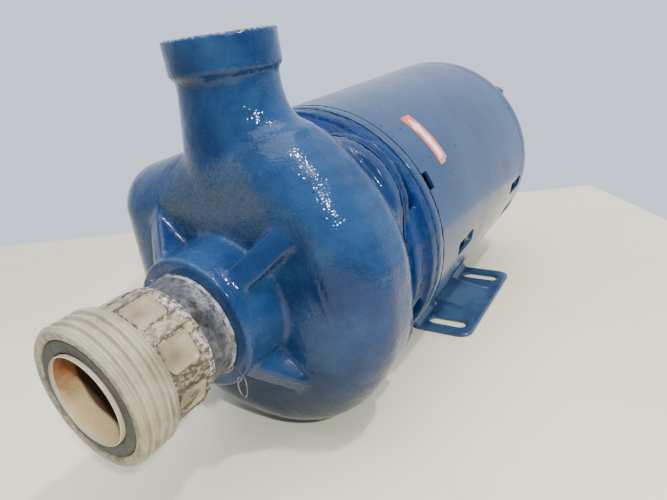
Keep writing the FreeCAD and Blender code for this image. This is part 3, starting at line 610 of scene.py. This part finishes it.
def pressing_skin(point, normal):
    """The slight unevenness of pressed sheet."""
    return 0.12 * MM * grain(point, 22 * MM) - 0.05 * MM


def cradle():
    made = recast("base_pressing", bm_of("base_cradle"), voxel=0.8 * MM, rounds=10, skin=pressing_skin)
    place(made, MATERIALS["base_enamel"], "base_cradle")


def shields():
    for end in ("drive", "rear"):
        node = end + "_end_shield"
        made = recast(end + "_shield_pressing", bm_of(node), voxel=1.1 * MM, rounds=3, skin=pressing_skin)
        place(made, MATERIALS["shell_enamel"], node)


# --- the suction fitting ------------------------------------------------------------------------------
PITCH = 4.6 * MM
THREAD_DEPTH = 1.9 * MM
THREAD_END = FITTING_FRONT + 16.4 * MM
GRIP_FRONT = FITTING_FRONT + 19.5 * MM
GRIP_REAR = FITTING_FRONT + 39.5 * MM
GRIP_MIDDLE = (GRIP_FRONT + GRIP_REAR) / 2
GRIP_FLAT = 30.3 * MM
GRIP_CORNER_R = 31.9 * MM
FACE_TURN = TURN / 8
PAD_HALF_WIDTH = math.radians(13.0) * GRIP_FLAT
PAD_HALF_LENGTH = 7.4 * MM
PAD_CORNER = 2.4 * MM
MOULD_LINE = 8.4 * MM
TAIL_R = 30.0 * MM
LIP_R = 28.45 * MM
BORE_R = 21.95 * MM
REAR_BORE_R = 24.4 * MM
GASKET_FLOOR = FITTING_FRONT + 3 * MM
BORE_END = GRIP_REAR - 6 * MM
UNION_STEPS = 360


def from_face_middle(angle):
    """The angle from the middle of the nearest of the grip's eight faces, signed."""
    return wrapped(angle - FACE_TURN / 2, FACE_TURN)


def pad_edge(angle, y):
    """Distance from the rim of the nearest grip pad, negative inside it."""
    across = abs(from_face_middle(angle)) * GRIP_FLAT - PAD_HALF_WIDTH + PAD_CORNER
    along = abs(y - GRIP_MIDDLE) - PAD_HALF_LENGTH + PAD_CORNER
    return math.hypot(max(across, 0.0), max(along, 0.0)) - PAD_CORNER + min(0.0, max(across, along))


def groove_depth(angle, y):
    """0 on a thread's crest, 1 at the bottom of its groove; the thread runs out at both ends."""
    turn = ((y - FITTING_FRONT) / PITCH - angle / TURN) % 1.0
    depth = smoothstep(0.08, 0.30, abs(wrapped(turn, 1.0)))
    start = smoothstep(FITTING_FRONT + 1.2 * MM, FITTING_FRONT + 3.4 * MM, y)
    return depth * start * (1 - smoothstep(THREAD_END - 1.6 * MM, THREAD_END, y))


def thread_skin(angle, y, point):
    """Radius and dirt over the coarse thread and the plain neck behind it."""
    chamfer = 1.4 * MM * (1 - smoothstep(FITTING_FRONT, FITTING_FRONT + 1.8 * MM, y))
    run_out = 1.3 * MM * smoothstep(THREAD_END, GRIP_FRONT, y)
    uneven = 0.1 * MM * grain(point, 5 * MM) - 0.1 * MM
    low_side = smoothstep(0.2, -0.9, math.sin(angle))
    dirt = min(1.0, 0.12 + 0.4 * low_side * grain(point, 9 * MM))
    return THREAD_CREST - THREAD_DEPTH * groove_depth(angle, y) - chamfer - run_out + uneven, dirt


def tail_skin(y, point):
    """Radius and dirt over the round tail behind the grip, with its frayed ridge."""
    ridge = 0.5 * MM * bell(y - (GRIP_REAR + 2.6 * MM), 0.8 * MM)
    return TAIL_R + 0.35 * MM * grain(point, 4 * MM) + ridge - 0.75 * MM, 0.55


def grip_skin(angle, y, point):
    """Radius and dirt over the grip: flat faces with raised rims round the pads, and mould lines."""
    edge = pad_edge(angle, y)
    seam = abs(from_face_middle(angle)) * GRIP_FLAT - MOULD_LINE
    lift = 0.5 * MM * bell(edge, 0.5 * MM) - 0.5 * MM * smoothstep(-0.3 * MM, -1.6 * MM, edge)
    lift -= 0.45 * MM * smoothstep(0.3 * MM, 1.2 * MM, edge)
    lift += 0.35 * MM * bell(seam, 0.4 * MM)
    lift *= smoothstep(GRIP_FRONT, GRIP_FRONT + 1.2 * MM, y)
    lift *= 1 - smoothstep(GRIP_REAR - 1.2 * MM, GRIP_REAR, y)
    lift += 0.35 * MM * grain(point, 2.4 * MM, 11.0) * smoothstep(0.0, 1.5 * MM, edge)
    low = smoothstep(0.35, -0.35, math.sin(angle))
    dirt = smoothstep(0.0, 0.8 * MM, edge) * (0.3 + 0.45 * low) + 0.35 * bell(seam, 0.7 * MM)
    dirt += 0.35 * bell(edge - 0.5 * MM, 0.5 * MM)
    dirt += 0.5 * low * smoothstep(-0.1, 0.3, grain(point, 7 * MM, 2.0))
    flat = GRIP_FLAT / math.cos(from_face_middle(angle))
    return min(flat, GRIP_CORNER_R) - 0.5 * MM + lift, min(1.0, dirt * 1.25)


def union_skin(angle, y):
    """The fitting's outside radius, and how much dirt sits there from 0 to 1."""
    point = Vector((math.cos(angle) * THREAD_CREST, y, math.sin(angle) * THREAD_CREST))
    if y < GRIP_FRONT:
        return thread_skin(angle, y, point)
    if y > GRIP_REAR:
        return tail_skin(y, point)
    return grip_skin(angle, y, point)


def smudge(angle, y):
    """1 in the brown stain at the front of each grip pad, fading to 0."""
    across = from_face_middle(angle) * GRIP_FLAT
    along = y - GRIP_MIDDLE + 3.4 * MM
    return bell(math.hypot(across, along * 0.9), 5.2 * MM)


def union_rows():
    """Rows of (radius, y, dirt, painted tail highlight) from the bore, over lip, thread, grip and tail, and back
    in.
    """
    rows = []
    for radius, y in ((BORE_R, GASKET_FLOOR), (LIP_R, GASKET_FLOOR), (LIP_R, FITTING_FRONT + 0.5 * MM),
                      (LIP_R + 0.5 * MM, FITTING_FRONT), (LIP_R + 2.2 * MM, FITTING_FRONT)):
        rows.append([(radius, y, 0.35, 0.0)] * UNION_STEPS)
    for y in even(FITTING_FRONT, FITTING_REAR, 0.22 * MM):
        # painted highlight on the ring just behind the grip
        pale = smoothstep(GRIP_REAR - 1.5 * MM, GRIP_REAR, y)
        row = []
        for step in range(UNION_STEPS):
            radius, dirt = union_skin(TURN * step / UNION_STEPS, y)
            row.append((radius, y, dirt, pale))
        rows.append(row)
    for radius, y in ((TAIL_R - 1.2 * MM, FITTING_REAR), (REAR_BORE_R, FITTING_REAR),
                      (REAR_BORE_R, BORE_END), (BORE_R, BORE_END)):
        rows.append([(radius, y, 0.5, 0.0)] * UNION_STEPS)
    return rows


def union():
    """The threaded plastic union half, one closed skin."""
    points, grime, tail_highlight, stained = [], [], [], []
    for row in union_rows():
        ring = []
        for step, (radius, y, dirt, pale) in enumerate(row):
            angle = TURN * step / UNION_STEPS
            ring.append(round_axis(radius, angle, y))
            grime.append(dirt)
            tail_highlight.append(pale)
            stained.append(smudge(angle, y))
        points.append(ring)
    bm = bmesh.new()
    add_loft(bm, points)
    made = to_object("union_moulding", bm)
    mark(made, "grime", grime)
    mark(made, "tail_highlight", tail_highlight)
    mark(made, "stained", stained)
    place(made, MATERIALS["union_plastic"], "union_body")


def gasket():
    """Flat rubber ring pressed into the union's face, its front slightly uneven."""
    front, back = ends("union_gasket")
    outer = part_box("union_gasket")[1].x - 0.15 * MM
    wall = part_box("union_sleeve")[1].x

    def pressed(angle, radius, y):
        point = Vector((radius * math.cos(angle), y, radius * math.sin(angle)))
        return radius, y + (0.12 * MM * grain(point, 9 * MM) if y < front + 1 * MM else 0.0)

    bm = bmesh.new()
    face = [(r, front + 0.15 * MM) for r in even(wall + 0.7 * MM, outer - 0.5 * MM, 1.2 * MM)]
    turned(bm, face + [(outer, front + 0.6 * MM), (outer, back), (wall + 0.1 * MM, back),
                       (wall + 0.1 * MM, front + 0.7 * MM)], shape=pressed)
    place(to_object("union_gasket_ring", bm), MATERIALS["rubber"], "union_gasket")


def sleeve():
    """The liner, with a rounded lip and a chamfered bore."""
    front, rear = ends("union_sleeve")
    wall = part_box("union_sleeve")[1].x
    bore = 20.8 * MM
    lip_r = 0.55 * MM
    lip = arc_points((wall - lip_r, front + lip_r), lip_r, 0, -90, 4)
    inside = [(bore + 0.6 * MM * smoothstep(front + 5 * MM, front, y), y)
              for y in even(front + 0.6 * MM, rear, 1 * MM)]
    bm = bmesh.new()
    turned(bm, lip + [(bore + 0.8 * MM, front)] + inside + [(wall, rear)])
    place(to_object("union_liner", bm), MATERIALS["sleeve_plastic"], "union_sleeve")


def nipple():
    """Galvanised nipple with a coarse, hammered skin and chalky residue near the casing."""
    outer, socket, thread, bore = 27.8 * MM, 24.3 * MM, 23.4 * MM, 20.4 * MM
    start, end = ends("suction_nipple")
    front, rear = FITTING_REAR + 0.05 * MM, BOSS_FRONT - 0.05 * MM
    steps = 192

    def hammered(angle, radius, y):
        if radius < socket + 1 * MM:
            return radius, y
        point = Vector((radius * math.cos(angle), y, radius * math.sin(angle)))
        return radius + 0.25 * MM * grain(point, 5 * MM) - 0.3 * MM, y

    profile = [(bore, start), (socket, start), (socket, front)]
    profile += [(outer, y) for y in even(front, rear, 0.8 * MM)]
    profile += [(thread, rear), (thread, end), (bore, end)]
    bm = bmesh.new()
    turned(bm, profile, steps, hammered)
    made = to_object("nipple_turning", bm)
    chalk = []
    for radius, y in profile:
        chalk += [smoothstep(BOSS_FRONT - 9 * MM, BOSS_FRONT, y) if radius > socket else 0.0] * steps
    mark(made, "chalk", chalk)
    place(made, MATERIALS["galvanised"], "suction_nipple")


def add_strand(bm, points, width, thick):
    """A flat-sided strand along points, tapered at both ends."""
    sides = 6
    last = len(points) - 1
    rows = []
    for i, point in enumerate(points):
        ahead = points[min(i + 1, last)] - points[max(i - 1, 0)]
        across = ahead.cross(Vector((0.0, 1.0, 0.2))).normalized()
        out = ahead.cross(across).normalized()
        taper = 0.25 + 0.75 * math.sin(math.pi * i / last)
        row = []
        for side in range(sides):
            angle = TURN * side / sides
            row.append(point + across * (width * taper * math.cos(angle))
                       + out * (thick * taper * math.sin(angle)))
        rows.append(row)
    made = add_loft(bm, rows, closed_rows=False)
    bm.faces.new(made[0])
    bm.faces.new(list(reversed(made[-1])))


def tape_collar(bm):
    """The ragged collar left in the corner between the nipple and the boss."""
    inner, outer = 27.3 * MM, 28.0 * MM
    low, high = BOSS_FRONT - 2.2 * MM, BOSS_FRONT - 0.1 * MM

    def ragged(angle, radius, y):
        if radius < outer - 0.5 * MM:
            return radius, y
        point = Vector((math.cos(angle), math.sin(angle), 0.0))
        front = smoothstep(high - 1 * MM, low, y)
        return (radius + 0.35 * MM * grain(point, 0.16) + 0.25 * MM * grain(point, 0.05, 4.0),
                y + front * 1.0 * MM * grain(point, 0.10, 9.0))

    turned(bm, [(inner, low + 0.4 * MM), (outer - 0.3 * MM, low), (outer, low + 0.8 * MM),
                (outer + 0.2 * MM, high - 0.8 * MM), (outer + 0.3 * MM, high), (inner, high)], 256, ragged)


def tape_wisp(bm, begin, span, sway):
    """A wisp lying round the nipple, from the angle begin over span."""
    points = []
    for step in range(22):
        share = step / 21
        radius = 28.5 * MM + 0.9 * MM * math.sin(math.pi * share)
        y = BOSS_FRONT - (1.2 + 3.4 * math.sin(math.pi * share + sway) ** 2) * MM
        points.append(round_axis(radius, begin + span * share, y))
    add_strand(bm, points, 0.35 * MM, 0.1 * MM)


def tape_loop(bm):
    """One loose loop that hangs below the nipple, with a straight lead and tail."""
    top = Vector((26.6 * MM, BOSS_FRONT - 1.6 * MM, AXIS_Z - 17 * MM))
    centre = top + Vector((1.6 * MM, -0.6 * MM, -9.5 * MM))
    points = []
    for step in range(40):
        angle = math.radians(100 - 400 * step / 39)
        points.append(centre + Vector((2.2 * MM * math.cos(angle), 1.2 * MM * math.sin(angle * 0.5),
                                       6.0 * MM * math.sin(angle))))
    lead = [top.lerp(points[0], i / 8) for i in range(8)]
    tail = [points[-1] + Vector((-0.5 * MM * i, 0.0, -0.55 * MM * i)) for i in range(1, 10)]
    add_strand(bm, lead + points + tail, 0.38 * MM, 0.12 * MM)


def frayed_fibre(bm, number):
    """A short fibre hanging from the low side of the union's tail."""
    start = Vector(((22 + 1.3 * number) * MM, GRIP_REAR - (2 + number) * MM,
                    AXIS_Z - (22.5 - 1.2 * number) * MM))
    bend = 0.8 * MM * math.sin(number * 1.7)
    points = []
    for i in range(10):
        points.append(start + Vector((bend * (i / 9) ** 2, 0.2 * MM * i, -(0.5 * i + 0.1 * number) * MM)))
    add_strand(bm, points, 0.12 * MM, 0.08 * MM)


def tape_residue():
    """What is left of the tape: a ragged collar, wisps round it, a loose loop below and a few fibres."""
    bm = bmesh.new()
    tape_collar(bm)
    for wisp in range(7):
        tape_wisp(bm, 0.4 + wisp * 0.83, 0.5 + 0.25 * math.sin(wisp * 2.3), 0.4 * wisp)
    tape_loop(bm)
    for number in range(6):
        frayed_fibre(bm, number)
    place(to_object("tape_residue", bm), MATERIALS["tape"], "thread_tape")


# --- hardware -----------------------------------------------------------------------------------------
def hexed(flats, chamfer, low, high):
    """A shape function: a hexagon across those flats, its corners chamfered at both ends."""
    def shape(angle, radius, y):
        if radius < flats / 2 - 0.01 * MM:
            return radius, y
        side = flats / 2 / math.cos(wrapped(angle, TURN / 6))
        ease = max(0.0, chamfer - min(y - low, high - y))
        return min(side, flats / math.sqrt(3) - 1.4 * ease), y

    return shape


def centres(node):
    """Where each solid of a node lies about the shaft: (x, height) of each group of linked vertices."""
    bm = bm_of(node)
    bm.verts.ensure_lookup_table()
    left = set(bm.verts)
    found = []
    while left:
        group, edge = set(), [left.pop()]
        while edge:
            vertex = edge.pop()
            group.add(vertex)
            for link in vertex.link_edges:
                other = link.other_vert(vertex)
                if other in left:
                    left.discard(other)
                    edge.append(other)
        xs = [v.co.x for v in group]
        zs = [v.co.z for v in group]
        found.append(((min(xs) + max(xs)) / 2, (min(zs) + max(zs)) / 2 - AXIS_Z))
    bm.free()
    return sorted(found)


def casing_bolts():
    """Hexagon-headed bolts, their chamfered heads to the rear."""
    low, high = ends("casing_bolts")
    flats, shank, head, core = 14.2 * MM, 4.7 * MM, 6.1 * MM, 0.3 * MM
    bm = bmesh.new()
    for centre in centres("casing_bolts"):
        rows = [(shank, low), (shank, high - head)]
        rows += [(flats / 2, y) for y in even(high - head, high, 0.6 * MM)]
        rows += [(flats * 0.42, high), (core, high), (core, low)]
        turned(bm, rows, 96, hexed(flats, 1.0 * MM, high - head, high), centre)
    place(to_object("casing_bolt_set", bm), MATERIALS["adapter_enamel"], "casing_bolts")


def clamp_bolts():
    """Through bolts with rolled threads at the back end, and their chamfered nuts."""
    low, high = ends("through_bolts")
    nut_low, nut_high = ends("through_bolt_nuts")
    radius, pitch, depth, flats, core = 3.15 * MM, 1.27 * MM, 0.4 * MM, 11.0 * MM, 0.2 * MM
    thread_start = nut_low - 12 * MM

    def threaded(angle, r, y):
        if r < radius - 0.01 * MM or y < thread_start:
            return r, y
        ease = max(0.0, 0.8 * MM - (high - y))
        return r - depth * (0.5 + 0.5 * math.sin(TURN * y / pitch - angle)) - ease, y

    bolts, nuts = bmesh.new(), bmesh.new()
    for centre in centres("through_bolts"):
        rows = [(core, low), (radius, low), (radius, thread_start)]
        rows += [(radius, y) for y in even(nut_high - 1 * MM, high, 0.15 * MM)] + [(core, high)]
        turned(bolts, rows, 32, threaded, centre)
        rows = [(radius + 0.05 * MM, nut_low), (flats / 2, nut_low)]
        rows += [(flats / 2, y) for y in even(nut_low, nut_high, 0.6 * MM)]
        rows += [(flats * 0.42, nut_high), (radius + 0.6 * MM, nut_high),
                 (radius + 0.05 * MM, nut_high - 0.5 * MM)]
        turned(nuts, rows, 96, hexed(flats, 0.8 * MM, nut_low, nut_high), centre)
    place(to_object("through_bolt_set", bolts), MATERIALS["steel"], "through_bolts")
    place(to_object("clamp_nut_set", nuts), MATERIALS["shell_enamel"], "through_bolt_nuts")


def cover_screws():
    """Round-headed slotted screws."""
    low, high = ends("cover_screws")
    head, shank, thick, slot, depth, core = 3.6 * MM, 1.85 * MM, 2.4 * MM, 0.5 * MM, 1.2 * MM, 0.1 * MM
    under = high - thick

    def slotted(angle, radius, y):
        in_slot = abs(radius * math.sin(angle - 0.4)) < slot and y > under + 0.2 * MM
        return radius, (y - depth * smoothstep(under, high - depth, y) if in_slot else y)

    bm = bmesh.new()
    rows = [(shank, low), (shank, under), (head, under)]
    for degrees in range(0, 88, 4):
        rise = math.radians(degrees)
        rows.append((head * math.cos(rise), under + thick * math.sin(rise)))
    rows += [(core, high), (core, low)]
    for centre in centres("cover_screws"):
        turned(bm, rows, 96, slotted, centre)
    place(to_object("cover_screw_set", bm), MATERIALS["steel"], "cover_screws")


# --- the rotation label -------------------------------------------------------------------------------
def arrow_ink(u, v):
    """1 well inside the printed arrow, 0 well outside; u runs up the label and v across it."""
    shaft = 0.24 - abs(v - 0.5) if 0.08 < u < 0.74 else -0.2
    head = 0.40 * (0.93 - u) / 0.24 - abs(v - 0.5) if u > 0.69 else -0.2
    return max(0.0, min(1.0, 0.5 + 14 * max(shaft, head)))


def label():
    """A film wrapped on the shell: its arrow runs up over the shell, and its low rear corner is torn."""
    low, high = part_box("rotation_label")
    start = math.atan2(low.z - AXIS_Z, high.x) + math.radians(0.3)
    end = math.atan2(high.z - AXIS_Z, low.x) - math.radians(0.3)
    columns = [i / 180 for i in range(181)]
    across = [j / 60 for j in range(61)]
    ink, worn, rows = [], [], []
    for radius, lines in ((SHELL_R + 0.2 * MM, across), (SHELL_R + 0.03 * MM, [1 - v for v in across])):
        for v in lines:
            row = []
            for u in columns:
                torn = 0.05 * smoothstep(0.5, 1.0, abs(2 * v - 0.6)) * (1 - u)
                angle = start + (end - start) * min(1.0, u + torn)
                edge = 0.15 * MM * noise.noise(Vector((u * 14, v * 3, 1.0))) if v in (0, 1) else 0.0
                y = low.y + (high.y - low.y) * v * 0.985 + edge
                row.append(round_axis(radius, angle, y))
                ink.append(arrow_ink(u, v))
                worn.append(max(0.0, 1 - u / 0.22))
            rows.append(row)
    bm = bmesh.new()
    add_loft(bm, rows, closed_columns=False)
    bmesh.ops.holes_fill(bm, edges=[edge for edge in bm.edges if edge.is_boundary])
    made = to_object("rotation_film", bm)
    mark(made, "ink", ink)
    mark(made, "worn", worn)
    place(made, MATERIALS["label_film"], "rotation_label")


volute()
adapter()
cradle()
shields()
union()
gasket()
sleeve()
nipple()
tape_residue()
casing_bolts()
clamp_bolts()
cover_screws()
label()


# --- stage, light and camera --------------------------------------------------------------------------
def stage():
    """A pale bench top that ends where the wall begins; the wall is the pale world behind it."""
    bm = bmesh.new()
    outline = [(-1.9, -0.76), (0.109, 0.299), (1.3, -1.13), (0.9, -2.0), (-1.9, -2.0)]
    bm.faces.new([bm.verts.new((x, y, -0.1 * MM)) for x, y in outline])
    floor = to_object("bench", bm)
    g = Graph("bench_top")
    tone = g.mix(g.ramp(g.noise(2.2, 4.0, 0.6), 0.3, 0.7), srgb(226, 214, 186), srgb(238, 229, 204))
    tone = g.mix(g.ramp(g.noise(14.0, 5.0, 0.7, 1.2), 0.6, 0.72, 0.0, 0.1), tone, srgb(150, 146, 136))
    rough = g.ramp(g.noise(8.0), 0.3, 0.7, 0.32, 0.5)
    floor.data.materials.append(g.done(tone, rough, g.bump(g.noise(90.0), 0.3 * MM, 0.1)))


def area_light(name, location, target, width, power, colour):
    """A square light that faces the target."""
    data = bpy.data.lights.new(name, "AREA")
    data.shape = "SQUARE"
    data.size = width
    data.energy = power
    data.color = colour
    light = bpy.data.objects.new(name, data)
    light.location = location
    light.rotation_euler = (Vector(target) - Vector(location)).to_track_quat("-Z", "Y").to_euler()
    bpy.context.scene.collection.objects.link(light)


def room():
    """The pale room: brightest by the wall behind the pump, dimmer in front of it and below."""
    world = bpy.data.worlds.new("room")
    world.use_nodes = True
    nodes, links = world.node_tree.nodes, world.node_tree.links
    where = nodes.new("ShaderNodeTexCoord")
    toward = nodes.new("ShaderNodeVectorMath")
    toward.operation = "DOT_PRODUCT"
    toward.inputs[1].default_value = (-0.55, 0.80, 0.15)
    fade = nodes.new("ShaderNodeMapRange")
    fade.interpolation_type = "SMOOTHSTEP"
    for name, value in (("From Min", -0.35), ("From Max", 0.45), ("To Min", 0.48), ("To Max", 1.55)):
        fade.inputs[name].default_value = value
    background = nodes["Background"]
    background.inputs["Color"].default_value = srgb(204, 213, 232)
    links.new(where.outputs["Generated"], toward.inputs[0])
    links.new(toward.outputs["Value"], fade.inputs["Value"])
    links.new(fade.outputs["Result"], background.inputs["Strength"])
    bpy.context.scene.world = world


def lights():
    """A soft ceiling light, and two small lamps that make the sparkles in the paint."""
    middle = (0.0, -0.08, 0.09)
    area_light("ceiling", (0.1, -0.2, 2.4), middle, width=2.4, power=50, colour=(1.0, 0.98, 0.94))
    area_light("lamp_near", (1.03, -0.71, 1.0), middle, width=0.06, power=20, colour=(0.92, 1.0, 1.0))
    area_light("lamp_far", (0.64, -0.10, 1.3), middle, width=0.06, power=11, colour=(1.0, 0.93, 0.88))


def camera():
    """The photograph's viewpoint: turned to the left, looking down and rolled a little clockwise."""
    heading, pitch, roll = math.radians(34.97), math.radians(23.19), math.radians(-8.365)
    stand = Matrix.Translation((0.1925, -0.3573, 0.2166))
    data = bpy.data.cameras.new("view")
    data.lens = 28.81
    data.sensor_width = 36.0
    data.clip_start = 0.01
    eye = bpy.data.objects.new("view", data)
    eye.matrix_world = (stand @ Matrix.Rotation(heading, 4, "Z")
                        @ Matrix.Rotation(math.pi / 2 - pitch, 4, "X") @ Matrix.Rotation(roll, 4, "Z"))
    bpy.context.scene.collection.objects.link(eye)
    bpy.context.scene.camera = eye


stage()
room()
lights()
camera()
